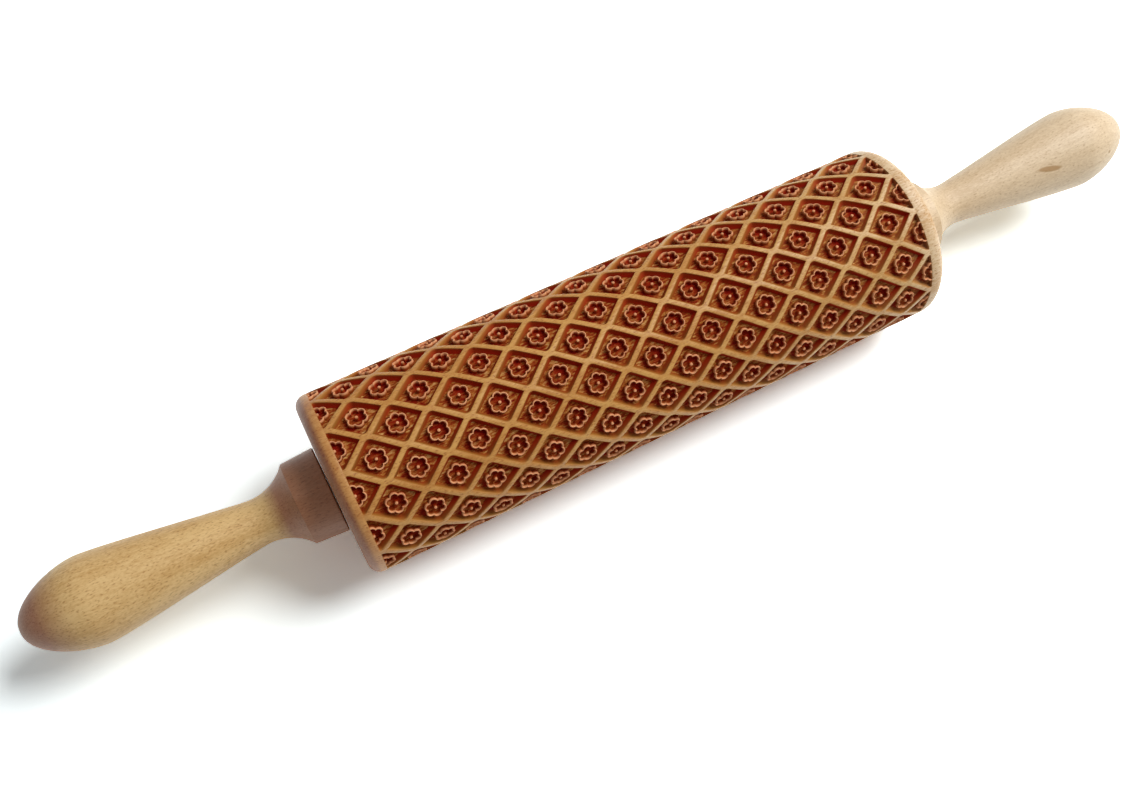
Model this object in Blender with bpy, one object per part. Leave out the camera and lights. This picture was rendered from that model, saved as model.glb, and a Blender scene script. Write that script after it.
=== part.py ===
"""An embossed rolling pin of beech, at its real size in metres.

The roller is a beech cylinder carved with a trellis of diamonds, each with a small rosette in it. It turns on
two deep-groove ball bearings about a steel rod, and the rod's ends are glued into two turned handles. The pin
lies along X, its handles point to -X and +X, and it rests on the floor at Z = 0.

Round pieces are faceted about the X axis. The roller has two facets to a diamond, and one of them faces down.
"""

import math

import bmesh
import bpy

# Roller
ROLLER_RADIUS = 0.032
CELLS_AROUND = 13
CELLS_ALONG = 10
CELL_LENGTH = 0.021
END_BAND_LEFT = 0.0054
END_BAND_RIGHT = 0.0066
EDGE_ROUNDING = 0.0040
RIB_WIDTH = 0.0016
POCKET_DEPTH = 0.0018
POCKET_WALL_RUN = 0.0005
ROSETTE_RADIUS = 0.0034
ROSETTE_SINK = 0.0002
PETALS = 6
ROUNDING_STEPS = 4

# Handles, measured from the tip along the handle
HANDLE_LENGTH = 0.1035
TIP_PAD_RADIUS = 0.0018
BELLY_RADIUS = 0.0150
BELLY_FROM_TIP = 0.0228
NECK_RADIUS = 0.0078
NECK_FROM_TIP = 0.0789
COLLAR_CORNER_RADIUS = 0.0143
COLLAR_FACE_RADIUS = 0.0150
COLLAR_LENGTH = 0.0115
COLLAR_CHAMFER = 0.0005
HANDLE_END_GAP = 0.0005
CAP_POWER = 1.7
BELLY_EASE = 0.0080
NECK_EASE = 0.0045
CAP_STEPS = 6
SWELL_STEPS = 6
COVE_STEPS = 4

# Axle rod
AXLE_RADIUS = 0.0040
AXLE_SEAT_DEPTH = 0.050
AXLE_CHAMFER = 0.0005

# Ball bearings
BEARING_RADIUS = 0.0110
BEARING_WIDTH = 0.0070
BEARING_RECESS = 0.0010
BALL_RADIUS = 0.0019845
BALLS = 7
SHOULDER_FROM_PITCH = 0.0013
GROOVE_HALF_ANGLE = math.radians(48)
SHIELD_THICKNESS = 0.0004
SHIELD_INSET = 0.0002
CAGE_THICKNESS = 0.0015
CAGE_BACK = 0.00035
CAGE_FINGER_HEIGHT = 0.0009
CAGE_FINGER_EASE = 0.0002
WASHER_RADIUS = 0.0059

# Clearances
SEAT_GAP = 0.00025
RUNNING_GAP = 0.00015
BORE_CLEARANCE = 0.0008

# Facets
ROLLER_SIDES = 2 * CELLS_AROUND
BEARING_SIDES = 20
GROOVE_STEPS = 3
POCKET_STEPS = 4
BALL_SPLIT_STEPS = 2
WELD_DISTANCE = 0.000001

# Sizes that follow from those above
CARVED_LENGTH = CELLS_ALONG * CELL_LENGTH
ROLLER_LENGTH = CARVED_LENGTH + END_BAND_LEFT + END_BAND_RIGHT
ROLLER_HALF = ROLLER_LENGTH / 2
CARVING_START = END_BAND_LEFT - ROLLER_HALF
HALF_CELL = CELL_LENGTH / 2
FACET_WIDTH = 2 * ROLLER_RADIUS * math.sin(math.pi / ROLLER_SIDES)
AXIS_HEIGHT = ROLLER_RADIUS * math.cos(math.pi / ROLLER_SIDES)
COLLAR_FACE = ROLLER_HALF + HANDLE_END_GAP
BEARING_FACE = ROLLER_HALF - BEARING_RECESS
BEARING_MIDDLE = BEARING_FACE - BEARING_WIDTH / 2
BALL_PITCH_RADIUS = (BEARING_RADIUS + AXLE_RADIUS) / 2
INNER_SHOULDER_RADIUS = BALL_PITCH_RADIUS - SHOULDER_FROM_PITCH
OUTER_SHOULDER_RADIUS = BALL_PITCH_RADIUS + SHOULDER_FROM_PITCH
ROLLER_BORE_RADIUS = INNER_SHOULDER_RADIUS + BORE_CLEARANCE
CAGE_POCKET_RADIUS = (BALL_RADIUS + RUNNING_GAP) / math.cos(math.pi / (2 * POCKET_STEPS))
SIDE_SIGNS = {"left": -1, "right": 1}


def clear_scene():
    for obj in list(bpy.data.objects):
        bpy.data.objects.remove(obj, do_unlink=True)


def make_material(name, colour, roughness, metallic=0.0):
    material = bpy.data.materials.new(name)
    material.use_nodes = True
    shader = material.node_tree.nodes["Principled BSDF"]
    shader.inputs["Base Color"].default_value = (*colour, 1.0)
    shader.inputs["Roughness"].default_value = roughness
    shader.inputs["Metallic"].default_value = metallic
    return material


def make_axis(name, x):
    """An empty on the pin's axis, which the pieces that turn together share as their parent."""
    empty = bpy.data.objects.new(name, None)
    empty.location = (x, 0.0, AXIS_HEIGHT)
    empty.empty_display_size = ROLLER_RADIUS
    bpy.context.scene.collection.objects.link(empty)
    return empty


def finish_object(name, mesh_data, material, parent, x=0.0):
    """Puts a mesh that was made about the axis into the scene, x along from its parent."""
    mesh_data.materials.append(material)
    mesh_data.shade_smooth()
    mesh_data.set_sharp_from_angle(angle=math.radians(35))
    obj = bpy.data.objects.new(name, mesh_data)
    bpy.context.scene.collection.objects.link(obj)
    obj.parent = parent
    obj.location = (x, 0.0, 0.0)
    return obj


def close_mesh(work, name):
    """Turns a closed bmesh into mesh data with its faces pointing out."""
    bmesh.ops.remove_doubles(work, verts=work.verts, dist=WELD_DISTANCE)
    bmesh.ops.recalc_face_normals(work, faces=work.faces)
    mesh_data = bpy.data.meshes.new(name)
    work.to_mesh(mesh_data)
    work.free()
    return mesh_data


def around(x, radius, turn):
    """A point about the axis. A turn of 0 is the top, and it grows towards -Y."""
    return (x, -radius * math.sin(turn), radius * math.cos(turn))


def facet_turn(edge, sides):
    """Where a facet's edge lies, with the middle of a facet at the very top."""
    return (edge + 0.5) * math.tau / sides


def hole(radius, sides=BEARING_SIDES):
    """The corner radius of a faceted hole whose flats still clear this radius."""
    return radius / math.cos(math.pi / sides)


def turned(name, outline, sides, closed=False):
    """Turns an outline of (x, radius) points about the axis. A radius of 0 closes an end in one point."""
    work = bmesh.new()
    rings = []
    for x, radius in outline:
        if radius == 0:
            rings.append([work.verts.new((x, 0.0, 0.0))])
        else:
            rings.append([work.verts.new(around(x, radius, facet_turn(k, sides))) for k in range(sides)])
    pairs = list(zip(rings, rings[1:]))
    if closed:
        pairs.append((rings[-1], rings[0]))
    for first, second in pairs:
        join_rings(work, first, second)
    return close_mesh(work, name)


def join_rings(work, first, second):
    sides = max(len(first), len(second))
    for k in range(sides):
        after = (k + 1) % sides
        if len(first) == 1:
            work.faces.new((first[0], second[after], second[k]))
        elif len(second) == 1:
            work.faces.new((first[k], first[after], second[0]))
        else:
            work.faces.new((first[k], first[after], second[after], second[k]))


def arc(centre, radii, start, end, steps):
    """Points on an elliptic arc in the outline's (x, radius) plane, ends included."""
    points = []
    for step in range(steps + 1):
        angle = start + (end - start) * step / steps
        points.append((centre[0] + radii[0] * math.cos(angle), centre[1] + radii[1] * math.sin(angle)))
    return points


def skin_point(x, rows, depth=0.0):
    """A point on the faceted roller, rows being counted in facets round it, and depth straight in."""
    edge = math.floor(rows)
    share = rows - edge
    _, y0, z0 = around(x, ROLLER_RADIUS - depth, facet_turn(edge, ROLLER_SIDES))
    _, y1, z1 = around(x, ROLLER_RADIUS - depth, facet_turn(edge + 1, ROLLER_SIDES))
    return (x, y0 + (y1 - y0) * share, z0 + (z1 - z0) * share)


def diamond_scale(inset):
    """How far a diamond shrinks when each of its sides moves in by the inset."""
    side = math.hypot(HALF_CELL, FACET_WIDTH)
    return 1 - inset * side / (HALF_CELL * FACET_WIDTH)


def add_cell(work, x, row):
    """A whole diamond: the half ribs round it, its walls, its floor and the rosette on it."""

    def corners(scale, depth):
        along = scale * HALF_CELL
        places = ((x - along, row), (x, row - scale), (x + along, row), (x, row + scale))
        return [work.verts.new(skin_point(*place, depth)) for place in places]

    outer = corners(1.0, 0.0)
    mouth = corners(diamond_scale(RIB_WIDTH / 2), 0.0)
    floor = corners(diamond_scale(RIB_WIDTH / 2 + POCKET_WALL_RUN), POCKET_DEPTH)
    for k in range(4):
        after = (k + 1) % 4
        work.faces.new((outer[k], outer[after], mouth[after], mouth[k]))
        work.faces.new((mouth[k], mouth[after], floor[after], floor[k]))
    rosette = []
    for petal in range(PETALS):
        turn = math.pi * (1 - 2 * (petal + 0.5) / PETALS)
        across = ROSETTE_RADIUS * math.sin(turn) / FACET_WIDTH
        place = skin_point(x + ROSETTE_RADIUS * math.cos(turn), row - across, POCKET_DEPTH)
        rosette.append(work.verts.new(place))
    crown = work.verts.new(skin_point(x, row, ROSETTE_SINK))
    for petal in range(PETALS):
        work.faces.new((rosette[petal], rosette[(petal + 1) % PETALS], crown))
    left, top, right, bottom = floor
    work.faces.new((left, rosette[0], rosette[5]))
    work.faces.new((left, top, rosette[0]))
    work.faces.new((top, rosette[1], rosette[0]))
    work.faces.new((top, rosette[2], rosette[1]))
    work.faces.new((top, right, rosette[2]))
    work.faces.new((right, rosette[3], rosette[2]))
    work.faces.new((right, bottom, rosette[3]))
    work.faces.new((bottom, rosette[4], rosette[3]))
    work.faces.new((bottom, rosette[5], rosette[4]))
    work.faces.new((bottom, left, rosette[5]))


def add_end_cell(work, x, row, sign):
    """Half a diamond, cut straight across by the plain band. Its carving lies on the side that sign gives."""
    mouth_scale = diamond_scale(RIB_WIDTH / 2)
    floor_scale = diamond_scale(RIB_WIDTH / 2 + POCKET_WALL_RUN)
    cut_scale = floor_scale - POCKET_WALL_RUN / HALF_CELL
    cut = x + sign * POCKET_WALL_RUN
    outer = [(x, row - 1, 0.0), (x + sign * HALF_CELL, row, 0.0), (x, row + 1, 0.0)]
    mouth = [
        (x, row - mouth_scale, 0.0),
        (x + sign * mouth_scale * HALF_CELL, row, 0.0),
        (x, row + mouth_scale, 0.0),
        (x, row, 0.0),
    ]
    floor = [
        (cut, row - cut_scale, POCKET_DEPTH),
        (x + sign * floor_scale * HALF_CELL, row, POCKET_DEPTH),
        (cut, row + cut_scale, POCKET_DEPTH),
        (cut, row, POCKET_DEPTH),
    ]
    outer, mouth, floor = (
        [work.verts.new(skin_point(*place)) for place in places] for places in (outer, mouth, floor)
    )
    for k in range(2):
        work.faces.new((outer[k], outer[k + 1], mouth[k + 1], mouth[k]))
    for k in range(4):
        after = (k + 1) % 4
        work.faces.new((mouth[k], mouth[after], floor[after], floor[k]))
    work.faces.new((floor[0], floor[1], floor[3]))
    work.faces.new((floor[1], floor[2], floor[3]))


def add_band(work, carving_edge, ring):
    """The plain band beside the carving. Its edge has the half diamonds' points on it."""
    mouth_scale = diamond_scale(RIB_WIDTH / 2)
    for row in range(ROLLER_SIDES):
        after = (row + 1) % ROLLER_SIDES
        mouth_row = row + mouth_scale if row % 2 == 0 else row + 1 - mouth_scale
        places = [(carving_edge, row), (carving_edge, mouth_row), (carving_edge, row + 1)]
        edge = [work.verts.new(skin_point(*place)) for place in places]
        work.faces.new((*edge, ring[after], ring[row]))


def roller_end(sign):
    """The outline of one end of the roller, from its plain band round the edge and into its bore."""
    end = sign * ROLLER_HALF
    rounding = arc(
        (end - sign * EDGE_ROUNDING, ROLLER_RADIUS - EDGE_ROUNDING),
        (sign * EDGE_ROUNDING, EDGE_ROUNDING),
        math.pi / 2,
        0.0,
        ROUNDING_STEPS,
    )
    pocket_floor = sign * (BEARING_FACE - BEARING_WIDTH - SEAT_GAP)
    seat = hole(BEARING_RADIUS + RUNNING_GAP, ROLLER_SIDES)
    bore = hole(ROLLER_BORE_RADIUS, ROLLER_SIDES)
    return rounding + [(end, seat), (pocket_floor, seat), (pocket_floor, bore)]


def make_roller(material, parent):
    work = bmesh.new()
    bore_rings = []
    for sign in (-1, 1):
        carving_edge = CARVING_START if sign < 0 else CARVING_START + CARVED_LENGTH
        rings = []
        for x, radius in roller_end(sign):
            turns = (facet_turn(k, ROLLER_SIDES) for k in range(ROLLER_SIDES))
            rings.append([work.verts.new(around(x, radius, turn)) for turn in turns])
        add_band(work, carving_edge, rings[0])
        for first, second in zip(rings, rings[1:]):
            join_rings(work, first, second)
        bore_rings.append(rings[-1])
    join_rings(work, *bore_rings)
    for column in range(2 * CELLS_ALONG + 1):
        x = CARVING_START + column * HALF_CELL
        for row in range(column % 2, ROLLER_SIDES, 2):
            if column == 0:
                add_end_cell(work, x, row, 1)
            elif column == 2 * CELLS_ALONG:
                add_end_cell(work, x, row, -1)
            else:
                add_cell(work, x, row)
    return finish_object("roller", close_mesh(work, "roller"), material, parent)


def handle_outline():
    """One handle's outline as (distance from the tip, radius), from its tip pad to its collar's face."""
    outline = [(0.0, 0.0), (0.0, TIP_PAD_RADIUS)]
    for step in range(1, CAP_STEPS + 1):
        turn = step / CAP_STEPS * math.pi / 2
        along = BELLY_FROM_TIP * (1 - math.cos(turn) ** (2 / CAP_POWER))
        rise = (BELLY_RADIUS - TIP_PAD_RADIUS) * math.sin(turn) ** (2 / CAP_POWER)
        outline.append((along, TIP_PAD_RADIUS + rise))
    for step in range(1, SWELL_STEPS + 1):
        outline.append(swell_point(step / SWELL_STEPS))
    cove_length = HANDLE_LENGTH - COLLAR_LENGTH - NECK_FROM_TIP
    cove_rise = COLLAR_CORNER_RADIUS - NECK_RADIUS
    cove_radius = (cove_length**2 + cove_rise**2) / (2 * cove_rise)
    for step in range(1, COVE_STEPS + 1):
        along = cove_length * step / COVE_STEPS
        rise = cove_radius - math.sqrt(cove_radius**2 - along**2)
        outline.append((NECK_FROM_TIP + along, NECK_RADIUS + rise))
    outline.append((HANDLE_LENGTH - COLLAR_CHAMFER, COLLAR_FACE_RADIUS))
    outline.append((HANDLE_LENGTH, COLLAR_FACE_RADIUS - COLLAR_CHAMFER))
    return outline


def swell_point(share):
    """A point on the smooth curve from the handle's belly to its neck."""
    points = (
        (BELLY_FROM_TIP, BELLY_RADIUS),
        (BELLY_FROM_TIP + BELLY_EASE, BELLY_RADIUS),
        (NECK_FROM_TIP - NECK_EASE, NECK_RADIUS),
        (NECK_FROM_TIP, NECK_RADIUS),
    )
    weights = ((1 - share) ** 3, 3 * share * (1 - share) ** 2, 3 * share**2 * (1 - share), share**3)
    return tuple(sum(w * point[axis] for w, point in zip(weights, points)) for axis in (0, 1))


def make_handle(side, material, parent):
    """A turned handle with the blind hole that the axle rod is glued into."""
    sign = SIDE_SIGNS[side]
    tip = COLLAR_FACE + HANDLE_LENGTH
    hole_radius = hole(AXLE_RADIUS + RUNNING_GAP, ROLLER_SIDES)
    hole_end = COLLAR_FACE + AXLE_SEAT_DEPTH + SEAT_GAP
    outline = [(tip - along, radius) for along, radius in handle_outline()]
    outline += [(COLLAR_FACE, hole_radius), (hole_end, hole_radius), (hole_end, 0.0)]
    outline = [(sign * x, radius) for x, radius in outline]
    name = f"handle_{side}"
    return finish_object(name, turned(name, outline, ROLLER_SIDES), material, parent)


def make_axle(material, parent):
    end = COLLAR_FACE + AXLE_SEAT_DEPTH
    shoulder = end - AXLE_CHAMFER
    nose = AXLE_RADIUS - AXLE_CHAMFER
    half = [(shoulder, AXLE_RADIUS), (end, nose), (end, 0.0)]
    outline = [(-x, radius) for x, radius in reversed(half)] + half
    return finish_object("axle_rod", turned("axle_rod", outline, BEARING_SIDES), material, parent)


def make_washer(side, material, parent):
    """The thrust washer between a bearing's inner ring and the handle's collar."""
    inner = BEARING_FACE + SEAT_GAP
    outer = COLLAR_FACE - SEAT_GAP
    bore = hole(AXLE_RADIUS + RUNNING_GAP)
    outline = [(inner, bore), (inner, WASHER_RADIUS), (outer, WASHER_RADIUS), (outer, bore)]
    outline = [(SIDE_SIGNS[side] * x, radius) for x, radius in outline]
    name = f"spacer_washer_{side}"
    return finish_object(name, turned(name, outline, BEARING_SIDES, closed=True), material, parent)


def groove(side_of_ball):
    """The groove that the balls run in, as points either above them (1) or below them (-1)."""
    radius = (BALL_RADIUS + RUNNING_GAP) / math.cos(GROOVE_HALF_ANGLE / GROOVE_STEPS)
    middle = side_of_ball * math.pi / 2
    centre = (0.0, BALL_PITCH_RADIUS)
    start, end = middle - GROOVE_HALF_ANGLE, middle + GROOVE_HALF_ANGLE
    return arc(centre, (radius, radius), start, end, GROOVE_STEPS)


def make_outer_ring(side, material, parent):
    half = BEARING_WIDTH / 2
    points = [(x, hole(radius)) for x, radius in groove(1)]
    shoulder = hole(OUTER_SHOULDER_RADIUS)
    outline = [(half, BEARING_RADIUS), (half, shoulder), (points[0][0], shoulder)]
    outline += points
    outline += [(points[-1][0], shoulder), (-half, shoulder), (-half, BEARING_RADIUS)]
    name = f"bearing_{side}_outer_ring"
    mesh_data = turned(name, outline, BEARING_SIDES, closed=True)
    return finish_object(name, mesh_data, material, parent, SIDE_SIGNS[side] * BEARING_MIDDLE)


def make_inner_ring(side, material, parent):
    half = BEARING_WIDTH / 2
    bore = hole(AXLE_RADIUS + RUNNING_GAP)
    points = groove(-1)
    outline = [(-half, bore), (-half, INNER_SHOULDER_RADIUS), (points[0][0], INNER_SHOULDER_RADIUS)]
    outline += points
    outline += [(points[-1][0], INNER_SHOULDER_RADIUS), (half, INNER_SHOULDER_RADIUS), (half, bore)]
    name = f"bearing_{side}_inner_ring"
    mesh_data = turned(name, outline, BEARING_SIDES, closed=True)
    return finish_object(name, mesh_data, material, parent, SIDE_SIGNS[side] * BEARING_MIDDLE)


def make_shield(side, face, material, parent):
    """A thin steel ring that closes the gap between the bearing's rings. Face 1 looks towards the handle."""
    sign = SIDE_SIGNS[side] * face
    outer = BEARING_WIDTH / 2 - SHIELD_INSET
    inner = outer - SHIELD_THICKNESS
    low = hole(INNER_SHOULDER_RADIUS + RUNNING_GAP)
    high = OUTER_SHOULDER_RADIUS - SEAT_GAP
    outline = [(sign * x, radius) for x, radius in ((inner, low), (inner, high), (outer, high), (outer, low))]
    name = f"bearing_{side}_shield_{'outside' if face > 0 else 'inside'}"
    mesh_data = turned(name, outline, BEARING_SIDES, closed=True)
    return finish_object(name, mesh_data, material, parent, SIDE_SIGNS[side] * BEARING_MIDDLE)


def cage_stations():
    """(turn, front edge) pairs round the cage: a round pocket for each ball and a finger after it."""
    pocket_turn = CAGE_POCKET_RADIUS / BALL_PITCH_RADIUS
    finger_turn = (CAGE_POCKET_RADIUS + CAGE_FINGER_EASE) / BALL_PITCH_RADIUS
    stations = []
    for ball in range(BALLS):
        centre = ball * math.tau / BALLS
        stations.append((centre - finger_turn, CAGE_FINGER_HEIGHT))
        for step in range(POCKET_STEPS + 1):
            angle = math.pi * step / POCKET_STEPS
            stations.append((centre - pocket_turn * math.cos(angle), -CAGE_POCKET_RADIUS * math.sin(angle)))
        stations.append((centre + finger_turn, CAGE_FINGER_HEIGHT))
    return stations


def make_cage(side, material, parent):
    """A crown cage: a ring behind the balls whose fingers reach between them."""
    work = bmesh.new()
    back = -(CAGE_POCKET_RADIUS + CAGE_BACK)
    low = BALL_PITCH_RADIUS - CAGE_THICKNESS / 2
    high = BALL_PITCH_RADIUS + CAGE_THICKNESS / 2
    sections = []
    for turn, front in cage_stations():
        corners = ((back, low), (back, high), (front, high), (front, low))
        sections.append([work.verts.new(around(-SIDE_SIGNS[side] * x, r, turn)) for x, r in corners])
    for k, section in enumerate(sections):
        following = sections[(k + 1) % len(sections)]
        for corner in range(4):
            after = (corner + 1) % 4
            work.faces.new((section[corner], section[after], following[after], following[corner]))
    name = f"bearing_{side}_cage"
    return finish_object(name, close_mesh(work, name), material, parent)


def make_balls(side, material, parent):
    """Seven balls that share one mesh, each in its pocket of the cage."""
    work = bmesh.new()
    bmesh.ops.create_icosphere(work, subdivisions=BALL_SPLIT_STEPS, radius=BALL_RADIUS)
    mesh_data = close_mesh(work, f"ball_{side}")
    mesh_data.materials.append(material)
    mesh_data.shade_smooth()
    for number in range(BALLS):
        ball = bpy.data.objects.new(f"bearing_{side}_ball_{number + 1}", mesh_data)
        bpy.context.scene.collection.objects.link(ball)
        ball.parent = parent
        ball.location = around(0.0, BALL_PITCH_RADIUS, number * math.tau / BALLS)


def build_pin():
    clear_scene()
    roller_beech = make_material("roller_beech", (0.50, 0.27, 0.10), 0.5)
    handle_beech = make_material("handle_beech", (0.66, 0.45, 0.22), 0.5)
    axle_steel = make_material("axle_steel", (0.55, 0.55, 0.56), 0.35, 1.0)
    washer_steel = make_material("washer_steel", (0.58, 0.57, 0.55), 0.4, 1.0)
    ring_steel = make_material("ring_steel", (0.62, 0.62, 0.64), 0.2, 1.0)
    ball_steel = make_material("ball_steel", (0.68, 0.68, 0.70), 0.1, 1.0)
    shield_steel = make_material("shield_steel", (0.50, 0.50, 0.52), 0.3, 1.0)
    cage_nylon = make_material("cage_nylon", (0.80, 0.76, 0.66), 0.5)

    handles = make_axis("handles_axis", 0.0)
    spinning = make_axis("roller_axis", 0.0)
    make_roller(roller_beech, spinning)
    make_axle(axle_steel, handles)
    for side, sign in SIDE_SIGNS.items():
        cage_axis = make_axis(f"cage_{side}_axis", sign * BEARING_MIDDLE)
        make_handle(side, handle_beech, handles)
        make_washer(side, washer_steel, handles)
        make_inner_ring(side, ring_steel, handles)
        make_outer_ring(side, ring_steel, spinning)
        for face in (-1, 1):
            make_shield(side, face, shield_steel, spinning)
        make_cage(side, cage_nylon, cage_axis)
        make_balls(side, ball_steel, cage_axis)


build_pin()
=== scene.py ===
# %% [markdown]
# # An embossed rolling pin
#
# A rolling pin that prints a flower trellis into dough. Its roller is a beech cylinder that a laser has carved: the
# ribs and the flowers stand at the old surface, and the pockets between them are burnt away to a dark brown. Two
# turned beech handles hold the steel rod that the roller spins on.
#
# The working model of the pin is loaded first, as a fixed frame. It has every piece at its real size and on its real
# axis, but its roller is a plain faceted drum. This lesson keeps the frame's sizes and gives the pin its looks: the
# fine carving, the turned curves, the grain and the scorch marks.

# %% Load the frame
import math

import bpy
import numpy as np
from mathutils import Euler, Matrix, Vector


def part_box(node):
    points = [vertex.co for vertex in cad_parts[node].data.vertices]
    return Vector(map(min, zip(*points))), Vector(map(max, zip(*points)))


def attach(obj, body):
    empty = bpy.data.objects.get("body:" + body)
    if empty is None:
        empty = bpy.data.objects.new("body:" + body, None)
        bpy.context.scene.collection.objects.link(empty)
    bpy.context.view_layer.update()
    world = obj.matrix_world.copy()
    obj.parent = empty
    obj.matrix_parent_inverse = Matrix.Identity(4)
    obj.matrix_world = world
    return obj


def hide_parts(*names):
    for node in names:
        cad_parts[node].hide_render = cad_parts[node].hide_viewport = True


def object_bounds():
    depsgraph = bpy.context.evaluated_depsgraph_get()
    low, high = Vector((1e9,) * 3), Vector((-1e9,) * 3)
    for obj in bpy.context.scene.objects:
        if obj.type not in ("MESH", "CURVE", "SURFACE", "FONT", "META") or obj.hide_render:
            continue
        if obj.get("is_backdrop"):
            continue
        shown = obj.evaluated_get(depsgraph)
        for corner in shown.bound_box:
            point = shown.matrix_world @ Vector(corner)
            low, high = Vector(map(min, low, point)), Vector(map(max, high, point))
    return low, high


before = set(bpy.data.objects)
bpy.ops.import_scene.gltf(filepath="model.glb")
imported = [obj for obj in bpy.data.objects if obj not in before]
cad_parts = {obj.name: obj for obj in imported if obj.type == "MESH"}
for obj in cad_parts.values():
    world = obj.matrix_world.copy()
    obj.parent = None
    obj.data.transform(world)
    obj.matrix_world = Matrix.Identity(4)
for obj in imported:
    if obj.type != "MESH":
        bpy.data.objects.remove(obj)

MM = 0.001
cad_box = [list(corner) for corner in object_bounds()]

# %% [markdown]
# Everything round on the pin shares one axis, so its height is the first thing to read from the frame. The roller's
# node gives it, and the roller's radius and ends with it. A reader who changes the frame gets a scene that follows.

# %% Read the main sizes
roller_low, roller_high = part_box("roller")
ROLLER_RADIUS = (roller_high.y - roller_low.y) / 2
AXIS_HEIGHT = (roller_high.z + roller_low.z) / 2
ROLLER_HALF = (roller_high.x - roller_low.x) / 2
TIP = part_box("handle_right")[1].x
print(f"Roller {ROLLER_RADIUS * 2 / MM:.1f} mm across, axis at {AXIS_HEIGHT / MM:.2f} mm, pin {TIP * 2 / MM:.0f} mm long")

# %% [markdown]
# ## The camera
#
# The photograph was taken from close by, so its perspective is strong: the left handle is nearer and looks larger.
# The place, the turn and the lens below come from fitting the trellis, whose flowers lie at even steps on a round
# drum, to the picture. A long lens from further off would flatten the pin, whatever its angle.

# %% Place the camera
CAMERA_PLACE = (-107.1 * MM, -165.1 * MM, 382.1 * MM)
CAMERA_TURN = (26.860, 0.224, -27.527)
CAMERA_LENS_MM = 36.19
CAMERA_SENSOR_MM = 36.0

camera = bpy.data.objects.new("camera", bpy.data.cameras.new("camera"))
camera.data.lens = CAMERA_LENS_MM
camera.data.sensor_width = CAMERA_SENSOR_MM
camera.location = CAMERA_PLACE
camera.rotation_euler = Euler([math.radians(turn) for turn in CAMERA_TURN])
bpy.context.scene.collection.objects.link(camera)
bpy.context.scene.camera = camera
bpy.context.scene.view_settings.view_transform = "Standard"
print("Camera", round((Vector(CAMERA_PLACE) - Vector((0, 0, AXIS_HEIGHT))).length / MM), "mm from the pin")

# %% [markdown]
# ## Node helpers
#
# Shader nodes take many lines when each one is made, set and wired by hand. Two small helpers shorten that. The first
# adds a node and fills its inputs, and wires any input whose value is itself a socket. The second starts a node group,
# which is how one effect, such as grain, can serve several materials with different values.

# %% Helpers for shader nodes
def srgb(red, green, blue):
    """A colour as it is picked from a picture, from 0 to 255, turned into the linear values that shaders use."""
    channels = (value / 255 for value in (red, green, blue))
    linear = [c / 12.92 if c <= 0.04045 else ((c + 0.055) / 1.055) ** 2.4 for c in channels]
    return (*linear, 1.0)


def place(tree, kind, inputs=None, **settings):
    made = tree.nodes.new("ShaderNode" + kind)
    for name, value in settings.items():
        setattr(made, name, value)
    for name, value in (inputs or {}).items():
        if isinstance(value, bpy.types.NodeSocket):
            tree.links.new(value, made.inputs[name])
        else:
            made.inputs[name].default_value = value
    return made


def maths(tree, operation, *values):
    return place(tree, "Math", dict(enumerate(values)), operation=operation).outputs[0]


def blend_colours(tree, share, first, second, mode="MIX"):
    """The first colour where share is 0 and the second where it is 1."""
    made = place(tree, "Mix", {0: share, 6: first, 7: second}, data_type="RGBA", blend_type=mode)
    return made.outputs[2]


def ramp(tree, value, *stops):
    """A colour ramp. Each stop is (position, colour or brightness)."""
    made = place(tree, "ValToRGB", {"Fac": value})
    elements = made.color_ramp.elements
    while len(elements) < len(stops):
        elements.new(0.5)
    for element, (position, colour) in zip(elements, stops):
        element.position = position
        element.color = colour if isinstance(colour, tuple) else (colour, colour, colour, 1.0)
    return made.outputs["Color"]


def start_group(name, inputs, outputs):
    """A new node group with named sockets. Each input is (name, kind, value) and each output (name, kind)."""
    group = bpy.data.node_groups.new(name, "ShaderNodeTree")
    for socket_name, kind, value in inputs:
        socket = group.interface.new_socket(socket_name, in_out="INPUT", socket_type="NodeSocket" + kind)
        if value is not None:
            socket.default_value = value
    for socket_name, kind in outputs:
        group.interface.new_socket(socket_name, in_out="OUTPUT", socket_type="NodeSocket" + kind)
    entry = group.nodes.new("NodeGroupInput")
    leave = group.nodes.new("NodeGroupOutput")
    return group, entry.outputs, leave.inputs


print("Helpers are ready")
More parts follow.
